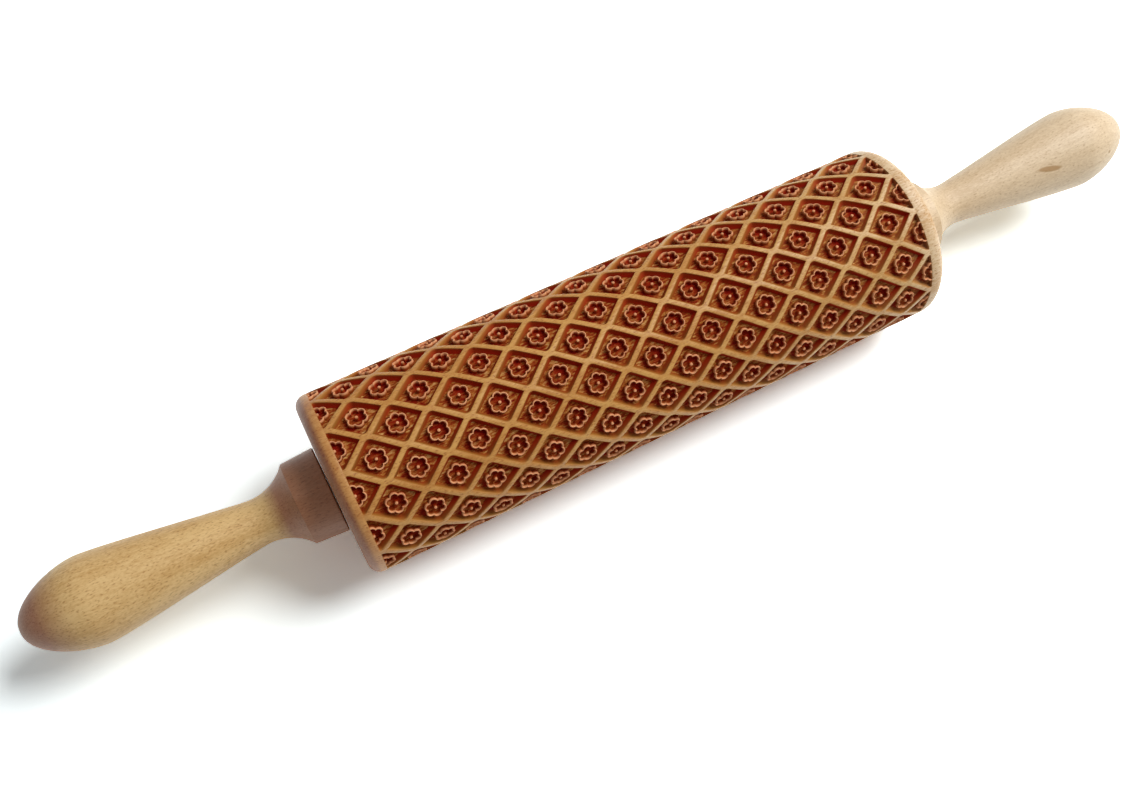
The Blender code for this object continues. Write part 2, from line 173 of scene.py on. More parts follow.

# %% [markdown]
# ## Beech grain
#
# Beech is a pale, even wood. What marks it are its flecks: short dark dashes up to a millimetre long, all lying along
# the grain, over soft streaks that come from the growth rings. Both are noise that is stretched along the pin. The
# noise is solid, so it runs through the wood: on a turned curve the streaks bend as they do on a real one.
#
# Where a curve cuts across the fibres, as at a handle's tip, the end grain shows. End grain drinks more oil and turns
# darker and redder, but here it is darkened only where it faces away from the lamp, so that darkening is mostly
# painted shade. The surface's normal tells where: there it points along the pin.
#
# The group puts out masks and not colours, so that each material can tint them in its own way.

# %% The grain group
def build_grain():
    group, given, result = start_group(
        "Beech grain",
        [("Position", "Vector", None), ("Normal", "Vector", None), ("Fleck Share", "Float", 0.5), ("Seed", "Float", 0.0)],
        [("Figure", "Float"), ("Streaks", "Float"), ("Flecks", "Float"), ("End Grain", "Float"), ("Height", "Float")],
    )
    in_mm = place(group, "VectorMath", {0: given["Position"], 3: 1 / MM}, operation="SCALE").outputs[0]
    shift = place(group, "CombineXYZ", {"X": given["Seed"], "Y": given["Seed"], "Z": given["Seed"]}).outputs[0]
    moved = place(group, "VectorMath", {0: in_mm, 1: shift}, operation="ADD").outputs[0]

    def stretched_noise(along, across, detail):
        scale = place(group, "VectorMath", {0: moved, 1: (1 / along, 1 / across, 1 / across)}, operation="MULTIPLY")
        noise = place(group, "TexNoise", {"Vector": scale.outputs[0], "Scale": 1.0, "Detail": detail})
        return noise.outputs["Fac"]

    tone = stretched_noise(70.0, 9.0, 2.0)
    streaks = stretched_noise(16.0, 0.9, 4.0)
    fleck_noise = stretched_noise(1.2, 0.45, 1.0)
    edge = maths(group, "SUBTRACT", 0.78, maths(group, "MULTIPLY", given["Fleck Share"], 0.2))
    over = maths(group, "SUBTRACT", fleck_noise, edge)
    flecks = maths(group, "MINIMUM", maths(group, "MAXIMUM", maths(group, "MULTIPLY", over, 14.0), 0.0), 1.0)
    raised = maths(group, "SUBTRACT", maths(group, "MULTIPLY", streaks, 0.4), maths(group, "MULTIPLY", flecks, 0.6))
    lengthwise = maths(group, "ABSOLUTE", place(group, "SeparateXYZ", {0: given["Normal"]}).outputs["X"])
    cut_across = place(group, "MapRange", {"Value": lengthwise, "From Min": 0.2, "From Max": 0.5}).outputs[0]
    broad = maths(group, "MULTIPLY_ADD", tone, 0.35, maths(group, "MULTIPLY", streaks, 0.3))
    figure = maths(group, "MULTIPLY_ADD", fleck_noise, 0.35, broad)
    values = {"Figure": figure, "Streaks": streaks, "Flecks": flecks, "End Grain": cut_across, "Height": raised}
    for name, value in values.items():
        group.links.new(value, result[name])
    return group


grain_group = build_grain()
print(grain_group.name, "has", len(grain_group.nodes), "nodes")

# %% [markdown]
# The next helpers put that group into a material and colour it. Light wood and dark wood are two colours of the same
# piece, mixed by the streaks, with the flecks laid over them. Where painted shade darkens the wood, its colour is
# multiplied by a tint last, which keeps the figure under it.

# %% Colour wood with the grain
# The tint of painted shade, multiplied over the wood where it faces away from the lamp or lies in a shadow.
PAINTED_SHADE_TINT = (0.49, 0.32, 0.36, 1.0)


def grain_in(tree, fleck_share, seed):
    position = place(tree, "TexCoord").outputs
    grain = tree.nodes.new("ShaderNodeGroup")
    grain.node_tree = grain_group
    grain.inputs["Fleck Share"].default_value = fleck_share
    grain.inputs["Seed"].default_value = seed
    tree.links.new(position["Object"], grain.inputs["Position"])
    tree.links.new(position["Normal"], grain.inputs["Normal"])
    return grain.outputs


def wood_colour(tree, grain, pale, deep, fleck, fleck_strength):
    spread = ramp(tree, grain["Figure"], (0.4, 0.0), (0.6, 1.0))
    plain = blend_colours(tree, spread, pale, deep)
    return blend_colours(tree, maths(tree, "MULTIPLY", grain["Flecks"], fleck_strength), plain, fleck)


def painted_shade(tree, colour, share):
    return blend_colours(tree, share, colour, PAINTED_SHADE_TINT, "MULTIPLY")


def start_material(name):
    material = bpy.data.materials.new(name)
    material.use_nodes = True
    return material, material.node_tree, material.node_tree.nodes["Principled BSDF"]


print("Wood colours mix two tones and a fleck")

# %% [markdown]
# ## The handles' wood
#
# The two handles come from different boards. The left one is a golden honey colour with a fine peppering of flecks.
# The right one is creamier and calmer, with a brown mark on its belly, like a small knot, and a dot near its tip. A
# mark is an ellipse on the surface, set by its distance from the tip and its turn about the pin's axis, and it may
# lie a little askew to that axis.

# %% Marks in the wood
MARKS = (
    {"from_tip": 41.5 * MM, "turn": 44.5, "askew": 14.0, "radius": 12.9 * MM, "length": 9.6 * MM, "width": 2.0 * MM},
    {"from_tip": 14.7 * MM, "turn": 60.3, "askew": 0.0, "radius": 13.6 * MM, "length": 1.4 * MM, "width": 1.1 * MM},
)
MARK_REACH = 8.0 * MM


def mark_mask(tree, mark):
    """1 on the mark, fading to 0 round it. The space is turned first, so that the mark lies on top."""
    out, turn = mark["radius"], math.radians(mark["turn"])
    centre = (TIP - mark["from_tip"], -out * math.sin(turn), AXIS_HEIGHT + out * math.cos(turn))
    turns = (-turn, 0.0, math.radians(mark["askew"]))
    position = place(tree, "TexCoord").outputs["Object"]
    turned_place = place(
        tree, "VectorRotate", {"Vector": position, "Center": centre, "Rotation": turns}, rotation_type="EULER_XYZ"
    )
    offset = place(tree, "VectorMath", {0: turned_place.outputs[0], 1: centre}, operation="SUBTRACT").outputs[0]
    sizes = (2 / mark["length"], 2 / mark["width"], 2 / MARK_REACH)
    shares = place(tree, "VectorMath", {0: offset, 1: sizes}, operation="MULTIPLY").outputs[0]
    distance = place(tree, "VectorMath", {0: shares}, operation="LENGTH").outputs["Value"]
    ragged = place(tree, "TexNoise", {"Vector": shares, "Scale": 1.5, "Detail": 3.0}).outputs["Fac"]
    edge = maths(tree, "MULTIPLY_ADD", ragged, 0.3, maths(tree, "MULTIPLY", distance, 0.7))
    return ramp(tree, edge, (0.72, 1.0), (0.98, 0.0))


print(len(MARKS), "marks on the right handle")

# %% [markdown]
# The left handle is darker at both its ends, and that is painted shade: the lamp stands at the right, so the left tip
# faces away from it and the collar lies in the roller's shadow. At the tip and in the hollow beside the collar the
# grain group's end-grain mask tells where, and the straight collar gets a painted shadow that fades towards the neck.
# The right handle, which faces the lamp, is not darkened.

# %% Handle materials
COLLAR_SHADE_REACH = 12.0 * MM
COLLAR_SHADE_FADE = 11.0 * MM


# Painted shadow of the roller on the left handle's collar.
def collar_shade_mask(tree):
    """1 beside the roller, fading to 0 at the neck."""
    x = place(tree, "SeparateXYZ", {0: place(tree, "TexCoord").outputs["Object"]}).outputs["X"]
    inner = ROLLER_HALF + COLLAR_SHADE_REACH
    ends = {"Value": maths(tree, "ABSOLUTE", x), "From Min": inner + COLLAR_SHADE_FADE, "From Max": inner}
    return place(tree, "MapRange", ends, interpolation_type="SMOOTHSTEP").outputs[0]


def build_handle_wood(name, pale, deep, fleck, fleck_share, painted_shade_share, seed, marks=()):
    material, tree, shader = start_material(name)
    grain = grain_in(tree, fleck_share, seed)
    colour = wood_colour(tree, grain, pale, deep, fleck, 0.5)
    # Painted shade: end grain and collar darkened by the given share, 1 for the left handle and 0 for the right.
    dark = maths(tree, "MULTIPLY", maths(tree, "MAXIMUM", grain["End Grain"], collar_shade_mask(tree)), painted_shade_share)
    colour = painted_shade(tree, colour, dark)
    for mark in marks:
        colour = blend_colours(tree, maths(tree, "MULTIPLY", mark_mask(tree, mark), 0.8), colour, srgb(170, 128, 76))
    tree.links.new(colour, shader.inputs["Base Color"])
    tree.links.new(maths(tree, "MULTIPLY_ADD", grain["Streaks"], 0.16, 0.42), shader.inputs["Roughness"])
    bump = place(tree, "Bump", {"Height": grain["Height"], "Strength": 0.35, "Distance": 0.06 * MM})
    tree.links.new(bump.outputs["Normal"], shader.inputs["Normal"])
    return material


left_wood = build_handle_wood(
    "honey beech", srgb(228, 191, 130), srgb(202, 158, 94), srgb(156, 106, 54), 0.78, 1.0, 3.0
)
right_wood = build_handle_wood(
    "cream beech", srgb(232, 208, 173), srgb(212, 184, 146), srgb(172, 134, 96), 0.6, 0.0, 40.0, MARKS
)
print("Handle woods:", left_wood.name, "and", right_wood.name)

# %% [markdown]
# ## Turned pieces
#
# A lathe makes anything that is the same all the way round: one outline, spun about an axis. The helper below takes
# the outline as points of (distance along the pin, radius) and spins them about the pin's axis. It builds the mesh from
# plain arrays, which is fast, and shades it smooth with its corners kept sharp.

# %% A lathe in code
SMOOTH_ANGLE = math.radians(32)


def around(x, radius, turn):
    """A point about the pin's axis. A turn of 0 is the top, and it grows towards the camera's side."""
    return (x, -radius * math.sin(turn), AXIS_HEIGHT + radius * math.cos(turn))


def finish_mesh(name, points, faces, material):
    mesh = bpy.data.meshes.new(name)
    mesh.from_pydata(points, [], faces)
    mesh.validate()
    mesh.shade_smooth()
    mesh.set_sharp_from_angle(angle=SMOOTH_ANGLE)
    mesh.materials.append(material)
    piece = bpy.data.objects.new(name, mesh)
    bpy.context.scene.collection.objects.link(piece)
    return piece


def turned(name, outline, sides, material, closed=False):
    points, faces, rings = [], [], []
    for x, radius in outline:
        first = len(points)
        turns = (math.tau * k / sides for k in range(sides)) if radius else (0.0,)
        points += [around(x, radius, turn) for turn in turns]
        rings.append(range(first, len(points)))
    pairs = list(zip(rings, rings[1:])) + ([(rings[-1], rings[0])] if closed else [])
    for here, there in pairs:
        for k in range(sides):
            after = (k + 1) % sides
            corners = [here[k % len(here)], here[after % len(here)], there[after % len(there)], there[k % len(there)]]
            faces.append(list(dict.fromkeys(corners)))
    return finish_mesh(name, points, faces, material)


print("The lathe spins an outline into a mesh")

# %% [markdown]
# ## The handles
#
# Each handle is a long drop: a rounded tip swells to a belly, runs down to a narrow neck where the first finger sits,
# and flares in a hollow curve to a straight collar beside the roller. The tip is a superellipse, which is a little
# blunter than a circle. A smooth curve with level ends leads from the belly to the neck, and the flare is an arc that
# leaves the neck without a corner and meets the collar at a sharp one.

# %% The handle's outline
HANDLE_LENGTH = 103.5 * MM
TIP_PAD_RADIUS = 1.8 * MM
BELLY_RADIUS = 15.0 * MM
BELLY_FROM_TIP = 22.8 * MM
BELLY_EASE = 8.0 * MM
NECK_RADIUS = 7.8 * MM
NECK_FROM_TIP = 78.9 * MM
NECK_EASE = 4.5 * MM
COLLAR_CORNER_RADIUS = 14.3 * MM
COLLAR_FACE_RADIUS = 15.0 * MM
COLLAR_LENGTH = 11.5 * MM
COLLAR_EDGE = 0.35 * MM
CAP_POWER = 1.7
ROD_HOLE_RADIUS = 4.15 * MM
ROD_HOLE_DEPTH = 50.25 * MM
OUTLINE_STEPS = 22


def cap_point(share):
    turn = share * math.pi / 2
    along = BELLY_FROM_TIP * (1 - math.cos(turn) ** (2 / CAP_POWER))
    return (along, TIP_PAD_RADIUS + (BELLY_RADIUS - TIP_PAD_RADIUS) * math.sin(turn) ** (2 / CAP_POWER))


def swell_point(share):
    rest = 1 - share
    weights = np.array([rest**3, 3 * share * rest**2, 3 * share**2 * rest, share**3])
    along = (BELLY_FROM_TIP, BELLY_FROM_TIP + BELLY_EASE, NECK_FROM_TIP - NECK_EASE, NECK_FROM_TIP)
    radii = (BELLY_RADIUS, BELLY_RADIUS, NECK_RADIUS, NECK_RADIUS)
    return (float(weights @ along), float(weights @ radii))


def flare_point(share):
    length = HANDLE_LENGTH - COLLAR_LENGTH - NECK_FROM_TIP
    rise = COLLAR_CORNER_RADIUS - NECK_RADIUS
    arc_radius = (length**2 + rise**2) / (2 * rise)
    along = length * share
    return (NECK_FROM_TIP + along, NECK_RADIUS + arc_radius - math.sqrt(arc_radius**2 - along**2))


def handle_outline():
    shares = [step / OUTLINE_STEPS for step in range(1, OUTLINE_STEPS + 1)]
    outer = [(0.0, 0.0), (0.0, TIP_PAD_RADIUS)]
    for curve in (cap_point, swell_point, flare_point):
        outer += [curve(share) for share in shares]
    outer += [(HANDLE_LENGTH - COLLAR_EDGE, COLLAR_FACE_RADIUS), (HANDLE_LENGTH, COLLAR_FACE_RADIUS - COLLAR_EDGE)]
    hole = HANDLE_LENGTH - ROD_HOLE_DEPTH
    return outer + [(HANDLE_LENGTH, ROD_HOLE_RADIUS), (hole, ROD_HOLE_RADIUS), (hole, 0.0)]


print("The handle's outline has", len(handle_outline()), "points")

# %% Turn both handles
HANDLE_SIDES = 96

for side, sign, wood in (("left", -1, left_wood), ("right", 1, right_wood)):
    outline = [(sign * (TIP - along), radius) for along, radius in handle_outline()]
    handle = turned(f"turned_handle_{side}", outline if sign > 0 else outline[::-1], HANDLE_SIDES, wood)
    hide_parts(f"handle_{side}")
    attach(handle, "handle_assembly")
    print(handle.name, "has", len(handle.data.polygons), "faces")

# %% [markdown]
# ## The carving, one cell
#
# The trellis repeats, so only one diamond has to be drawn. It is drawn flat, in millimetres along the pin and round
# it, and bent onto the drum afterwards. Its mesh is a web: 48 spokes run from the flower's dot to the diamond's edge,
# and rings cross them at every change of height. The rings follow what they border, so the inner ones are round, those
# at the petals are scalloped and the outer ones are diamonds. No edge of the carving is then cut by a face.
#
# The pocket is a diamond whose two blunt corners are rounded, while its sharp ones aren't. The flower is six circles in
# a ring, of which only the outline that they make together shows.

# %% The cell's sizes
CELLS_AROUND = 13
CELLS_ALONG = 10
BAND_LEFT = 5.4 * MM
BAND_RIGHT = 6.6 * MM
HALF_LENGTH = (2 * ROLLER_HALF - BAND_LEFT - BAND_RIGHT) / CELLS_ALONG / 2
HALF_TURN = math.pi / CELLS_AROUND
HALF_HEIGHT = ROLLER_RADIUS * HALF_TURN
POCKET_DEPTH = 1.8 * MM
POCKET_HALF_LENGTH = 8.5 * MM
POCKET_HALF_HEIGHT = 6.65 * MM
POCKET_ROUNDING = 1.9 * MM
WALL_RUN = 1.1 * MM
PETAL_CENTRE = 2.05 * MM
PETAL_RADIUS = 1.36 * MM
RIDGE_HALF = 0.24 * MM
RIDGE_FOOT = 0.44 * MM
DOT_RADIUS = 0.45 * MM
DOT_FOOT = 0.80 * MM
PETALS = 6
SPOKES_PER_CORNER = 12
SPOKES = 4 * SPOKES_PER_CORNER
print(f"One cell is {2 * HALF_LENGTH / MM:.2f} by {2 * HALF_HEIGHT / MM:.2f} mm")


# %% The lines that the rings follow
def spoke_turns():
    return math.tau * np.arange(SPOKES) / SPOKES


def circle_line(radius):
    turns = spoke_turns()
    return radius * np.stack([np.cos(turns), np.sin(turns)], -1)


def flower_line(offset):
    """The outline of the six petals, moved outwards by the offset."""
    step = math.tau / PETALS
    turns = spoke_turns()
    fold = turns % step - step / 2
    reach = PETAL_CENTRE * np.cos(fold) + np.sqrt(PETAL_RADIUS**2 - (PETAL_CENTRE * np.sin(fold)) ** 2)
    return (reach + offset)[:, None] * np.stack([np.cos(turns), np.sin(turns)], -1)


def diamond_line():
    """The cell's own edge, in even steps so that the neighbours' points meet it."""
    shares = (np.arange(SPOKES) % SPOKES_PER_CORNER) / SPOKES_PER_CORNER
    corners = np.array([(HALF_LENGTH, 0), (0, HALF_HEIGHT), (-HALF_LENGTH, 0), (0, -HALF_HEIGHT)])
    corner = np.arange(SPOKES) // SPOKES_PER_CORNER
    return corners[corner] * (1 - shares)[:, None] + corners[(corner + 1) % 4] * shares[:, None]


print("A petal's tip is", round((PETAL_CENTRE + PETAL_RADIUS) / MM, 2), "mm from the flower's centre")

# %% [markdown]
# The pocket's line takes a little school geometry. Its straight side starts at the sharp corner and has to touch the
# rounding circle of the blunt corner without a kink. The side's slope follows from the distance between the corner and
# the circle's centre. Moving the whole line inwards then keeps the slope and shrinks the circle, as a cutter would.

# %% The pocket's line
ARC_POINTS = 5


def pocket_line(inset):
    """The pocket's outline, moved inwards by the inset, with one point for each spoke."""
    centre = POCKET_HALF_HEIGHT - POCKET_ROUNDING
    distance = math.hypot(POCKET_HALF_LENGTH, centre)
    slope = math.atan2(centre, POCKET_HALF_LENGTH) + math.asin(POCKET_ROUNDING / distance)
    rounding = POCKET_ROUNDING - inset
    corner = np.array([POCKET_HALF_LENGTH - inset / math.sin(slope), 0.0])
    normal_turn = math.pi / 2 - slope
    touch = np.array([rounding * math.cos(normal_turn), centre + rounding * math.sin(normal_turn)])
    straight = SPOKES_PER_CORNER - ARC_POINTS
    quarter = [corner + (touch - corner) * step / straight for step in range(straight)]
    for step in range(ARC_POINTS):
        turn = normal_turn + slope * step / ARC_POINTS
        quarter.append(np.array([rounding * math.cos(turn), centre + rounding * math.sin(turn)]))
    blunt = np.array([0.0, POCKET_HALF_HEIGHT - inset])
    quarter = np.array(quarter)
    half = np.concatenate([quarter, [blunt], (quarter[1:] * (-1, 1))[::-1]])
    return np.concatenate([half, half * (-1, -1)])


print("The pocket's line has", len(pocket_line(0.0)), "points, one for each spoke")

# %% [markdown]
# Now the rings can be listed from the dot outwards, each with its line and its depth. One more word goes with each
# ring, for the colours later: whether it lies inside the flower, on a crest or outside. The crests lie slightly below
# the ribs, because the laser grazed them from both sides. The pocket's wall is steep at the top and runs out flat on
# the floor, so its rings lie at a list of shares of the wall's run, each with its share of the depth.

# %% The rings of a cell
CREST_DEPTH = 0.10 * MM
EDGE_DEPTH = 0.07 * MM
FLOOR_RINGS = 3
WALL_SHARES = ((1.0, 1.0), (0.75, 0.86), (0.5, 0.683), (0.25, 0.455), (0.1, 0.27))
INSIDE, CREST, OUTSIDE = 0, 1, 2


def between(inner, outer, share):
    return inner * (1 - share) + outer * share


def cell_rings():
    """Each ring's line, its depth and its zone, from the dot to the cell's edge."""
    floor = POCKET_DEPTH
    dot_foot, petal_inside = circle_line(DOT_FOOT), flower_line(-RIDGE_FOOT)
    petal_outside, wall_foot = flower_line(RIDGE_FOOT), pocket_line(WALL_RUN)
    rings = [
        (circle_line(DOT_RADIUS * 0.6), CREST_DEPTH, CREST),
        (circle_line(DOT_RADIUS), 2 * CREST_DEPTH, CREST),
        (circle_line(between(DOT_RADIUS, DOT_FOOT, 0.6)), floor * 0.7, INSIDE),
        (dot_foot, floor, INSIDE),
        (between(dot_foot, petal_inside, 0.5), floor, INSIDE),
        (petal_inside, floor, INSIDE),
        (flower_line(-RIDGE_HALF), 2.5 * CREST_DEPTH, CREST),
        (flower_line(-RIDGE_HALF / 2), CREST_DEPTH, CREST),
        (flower_line(RIDGE_HALF / 2), CREST_DEPTH, CREST),
        (flower_line(RIDGE_HALF), 2.5 * CREST_DEPTH, CREST),
        (petal_outside, floor, OUTSIDE),
    ]
    for step in range(1, FLOOR_RINGS):
        rings.append((between(petal_outside, wall_foot, step / FLOOR_RINGS), floor, OUTSIDE))
    for run, fall in WALL_SHARES:
        rings.append((pocket_line(WALL_RUN * run), floor * fall, OUTSIDE))
    rings += [
        (pocket_line(0.0), EDGE_DEPTH, OUTSIDE),
        (pocket_line(-0.2 * MM), 0.0, OUTSIDE),
        (diamond_line(), 0.0, OUTSIDE),
    ]
    return rings


rings = cell_rings()
print("A cell has", len(rings), "rings and", len(rings) * SPOKES, "faces")

# %% [markdown]
# ## The carving, all of it
#
# A cell is turned into a flat list of points: its middle point first, and then ring after ring. To place it, its x is
# shifted along the pin and its y becomes an angle, because a millimetre round the drum is a known turn. At both ends
# the trellis is cut straight across, so there the cells are halved: only the spokes on the drum's side are used.

# %% Build the cell's template
def cell_template(spokes):
    """The points (along, around, depth, zone) of a cell with these spokes, and its faces."""
    points = [(0.0, 0.0, CREST_DEPTH, CREST)]
    for line, depth, zone in rings:
        points += [(*line[spoke], depth, zone) for spoke in spokes]
    count = len(spokes)
    whole = count == SPOKES
    faces = []
    for ring in range(len(rings)):
        first = 1 + ring * count
        for k in range(count if whole else count - 1):
            after = (k + 1) % count
            if ring == 0:
                faces.append((0, first + k, first + after))
            else:
                faces.append((first - count + k, first + k, first + after, first - count + after))
    return np.array(points), faces


QUARTER = SPOKES_PER_CORNER
whole_cell = cell_template(list(range(SPOKES)))
left_end_cell = cell_template([k % SPOKES for k in range(-QUARTER, QUARTER + 1)])
right_end_cell = cell_template(list(range(QUARTER, 3 * QUARTER + 1)))
print("A whole cell has", len(whole_cell[0]), "points, and a half one", len(left_end_cell[0]))

# %% [markdown]
# The floor of a real pocket isn't flat. The laser burns the soft early wood deeper than the hard late wood, so the
# floor has low waves along the grain. Three sine waves of unlike length, run through each other, are enough for that.
#
# The lamp stands at the right end. In each pocket the walls on the lamp's side face away from it and lie in shade,
# and so does the floor below them; so do the inside of the flower and the floor just beyond the flower, away from
# the lamp, where its shadow falls. That shade is also painted into the colour as a deep maroon, while the lit side
# stays a golden brown. Inside the flower the maroon is partly a deeper burn as well. A burn-and-shade number for each
# point, worked out from its place in the cell, carries that to the material.

# %% Lay the cells on the drum
CARVING_LEFT = BAND_LEFT - ROLLER_HALF
CARVING_RIGHT = ROLLER_HALF - BAND_RIGHT
FLOOR_WAVE = 0.07 * MM
LAMP_SIDE_SHARES = (0.86, -0.5)
WALL_SHADE_REACH = 5.5 * MM
FLOWER_REACH = PETAL_CENTRE + PETAL_RADIUS
FLOWER_SHADE_REACH = 6.2 * MM
FLOWER_SHADE_FADE = 1.8 * MM


def floor_waves(x, turn):
    across = turn * ROLLER_RADIUS / MM
    along = x / MM
    wave = np.sin(across * 2.9 + 1.3 * np.sin(along * 0.23)) + 0.7 * np.sin(across * 5.3 - along * 0.41)
    return FLOOR_WAVE * (wave + 0.5 * np.sin(along * 1.7 + across))


# Painted shade, partly a deeper burn inside the flower: the number grows towards the lamp's side on the walls and
# inside the flower, and on the floor beyond the flower, away from the lamp, where the flower's shadow falls.
def burn_and_shade_at(along, across, share, zone):
    lamp_side = along * LAMP_SIDE_SHARES[0] + across * LAMP_SIDE_SHARES[1]
    wall = np.clip(0.5 + 0.5 * lamp_side / WALL_SHADE_REACH, 0.0, 1.0)
    inside = np.clip(0.80 + 0.50 * lamp_side / FLOWER_REACH, 0.0, 1.0)
    away = np.maximum(np.hypot(along, across), 1.0 * MM)
    near = np.clip((FLOWER_SHADE_REACH - away) / FLOWER_SHADE_FADE, 0.0, 1.0)
    floor = np.maximum(0.4 * wall, near * np.clip(-lamp_side / away, 0.0, 1.0))
    return np.where(zone == INSIDE, inside, np.where(share > 0.95, floor, wall))


def bend(points, x, turn):
    """Places a cell's flat points on the drum. Gives x, radius, turn, depth share, crest and painted shade (with burn).
    """
    along, across, depth, zone = points.T
    share = depth / POCKET_DEPTH
    place_x = x + along
    place_turn = turn + across / ROLLER_RADIUS
    sunk = depth + np.where(share > 0.9, floor_waves(place_x, place_turn), 0.0)
    burn_and_shade = burn_and_shade_at(along, across, share, zone)
    return np.stack([place_x, ROLLER_RADIUS - sunk, place_turn, share, zone == CREST, burn_and_shade], -1)


def lay_cells():
    places, faces, total = [], [], 0
    for column in range(2 * CELLS_ALONG + 1):
        template = whole_cell
        if column == 0:
            template = left_end_cell
        if column == 2 * CELLS_ALONG:
            template = right_end_cell
        x = CARVING_LEFT + column * HALF_LENGTH
        for row in range(column % 2, 2 * CELLS_AROUND, 2):
            placed = bend(template[0], x, (row + 0.5) * HALF_TURN)
            places.append(placed)
            faces += [tuple(total + corner for corner in face) for face in template[1]]
            total += len(placed)
    return places, faces


cell_places, cell_faces = lay_cells()
print(len(cell_places), "cells with", len(cell_faces), "faces")

# %% [markdown]
# Beyond the carving the drum is plain: a narrow band, a rounded edge, a flat end face, and in its middle the seat of a
# ball bearing and the bore for the rod. Each end is a stack of rings whose points line up with the cut cells' own
# points, so the wall at the cut closes with no gap.

# %% The ends of the drum
EDGE_ROUNDING = 4.2 * MM
ROUNDING_STEPS = 9
CUT_RUN = 0.25 * MM
SEAT_RADIUS = 11.15 * MM
SEAT_DEPTH = 8.25 * MM
BORE_RADIUS = 7.0 * MM


def cut_line(sign):
    """The cut cells' points along the end of the carving, as (turn, depth), once round the drum."""
    spokes = (-QUARTER, QUARTER) if sign < 0 else (3 * QUARTER, QUARTER)
    line = [(points[spokes[0] % SPOKES][1], depth) for points, depth, _ in reversed(rings)]
    line.append((0.0, CREST_DEPTH))
    line += [(points[spokes[1]][1], depth) for points, depth, _ in rings[:-1]]
    turns, depths = [], []
    for row in range(0, 2 * CELLS_AROUND, 2):
        turns += [(row + 0.5) * HALF_TURN + across / ROLLER_RADIUS for across, _ in line]
        depths += [depth for _, depth in line]
    return np.array(turns), np.array(depths)


def end_profile(sign):
    """(distance along, radius) of each ring from the carving's cut to the bore."""
    cut = CARVING_LEFT if sign < 0 else CARVING_RIGHT
    end = sign * ROLLER_HALF
    profile = [(cut + sign * CUT_RUN, ROLLER_RADIUS - EDGE_DEPTH), (cut + sign * 2 * CUT_RUN, ROLLER_RADIUS)]
    for step in range(ROUNDING_STEPS + 1):
        angle = math.pi / 2 * step / ROUNDING_STEPS
        x = end - sign * EDGE_ROUNDING * (1 - math.sin(angle))
        profile.append((x, ROLLER_RADIUS - EDGE_ROUNDING * (1 - math.cos(angle))))
    seat = end - sign * SEAT_DEPTH
    profile += [(end, 20 * MM), (end, SEAT_RADIUS + 0.3 * MM), (end - sign * 0.3 * MM, SEAT_RADIUS)]
    return profile + [(seat, SEAT_RADIUS), (seat, BORE_RADIUS)]


def drum_end(sign):
    """The rings' places in the same six columns as the cells, and their faces, counted from the first ring."""
    turns, depths = cut_line(sign)
    cut = CARVING_LEFT if sign < 0 else CARVING_RIGHT
    share = depths / POCKET_DEPTH
    waves = np.where(share > 0.9, floor_waves(np.full_like(turns, cut), turns), 0.0)
    none = np.zeros_like(turns)
    stack = [np.stack([none + cut, ROLLER_RADIUS - depths - waves, turns, share, none, none], -1)]
    for x, radius in end_profile(sign):
        stack.append(np.stack([none + x, none + radius, turns, none, none, none], -1))
    count = len(turns)
    faces = []
    for ring in range(len(stack) - 1):
        for k in range(count):
            after = (k + 1) % count
            face = (ring * count + k, ring * count + after, (ring + 1) * count + after, (ring + 1) * count + k)
            faces.append(face if sign < 0 else face[::-1])
    return np.concatenate(stack), faces, count


left_end, right_end = drum_end(-1), drum_end(1)
print("Each end has", len(left_end[1]), "faces")

# %% [markdown]
# The pieces of the web are put together here. Neighbouring cells have the same points along their shared edges, so
# points at one place are merged into one. Without that every cell would be a loose tile, and the light would show the
# joints. The depth and crest numbers stay on the merged points as attributes, where the material can read them.

# %% Weld the drum into one mesh
def weld(places, faces):
    """Points at the same place become one. Gives the kept points and the faces that use them."""
    x, radius, turn = places[:, 0], places[:, 1], places[:, 2]
    solid = np.stack([x, -radius * np.sin(turn), AXIS_HEIGHT + radius * np.cos(turn)], -1)
    _, first, index = np.unique(np.round(solid / (0.002 * MM)), axis=0, return_index=True, return_inverse=True)
    index = index.reshape(-1)
    used = [tuple(dict.fromkeys(index[list(face)].tolist())) for face in faces]
    return solid[first], places[first], [face for face in used if len(face) > 2]


def build_drum():
    places = cell_places + [left_end[0], right_end[0]]
    faces = list(cell_faces)
    start = sum(len(placed) for placed in cell_places)
    for stack, end_faces, _ in (left_end, right_end):
        faces += [tuple(start + corner for corner in face) for face in end_faces]
        start += len(stack)
    right_start = start - len(right_end[0])
    count = left_end[2]
    left_bore, right_bore = right_start - count, start - count
    for k in range(count):
        after = (k + 1) % count
        faces.append((left_bore + k, left_bore + after, right_bore + after, right_bore + k))
    return weld(np.concatenate(places), faces)


drum_points, drum_places, drum_faces = build_drum()
print("The welded drum has", len(drum_points), "points and", len(drum_faces), "faces")

# %% [markdown]
# ## The carved wood
#
# The bare beech of the ribs and the bands is sanded and finished with oil, with a soft sheen. Along the pin its
# colour carries painted light: it is browner at the left end, which is painted shade, and pales towards the right,
# a painted sheen where the lamp stands. A colour ramp along the pin does that, and the grain is laid over it. The
# end grain at the left end is darkened too, which is painted shade as well.

# %% Bare beech
def pin_share(tree):
    """0 at the roller's left end and 1 at its right end."""
    position = place(tree, "TexCoord").outputs["Object"]
    x = place(tree, "SeparateXYZ", {0: position}).outputs["X"]
    return place(tree, "MapRange", {"Value": x, "From Min": -ROLLER_HALF, "From Max": ROLLER_HALF}).outputs[0]


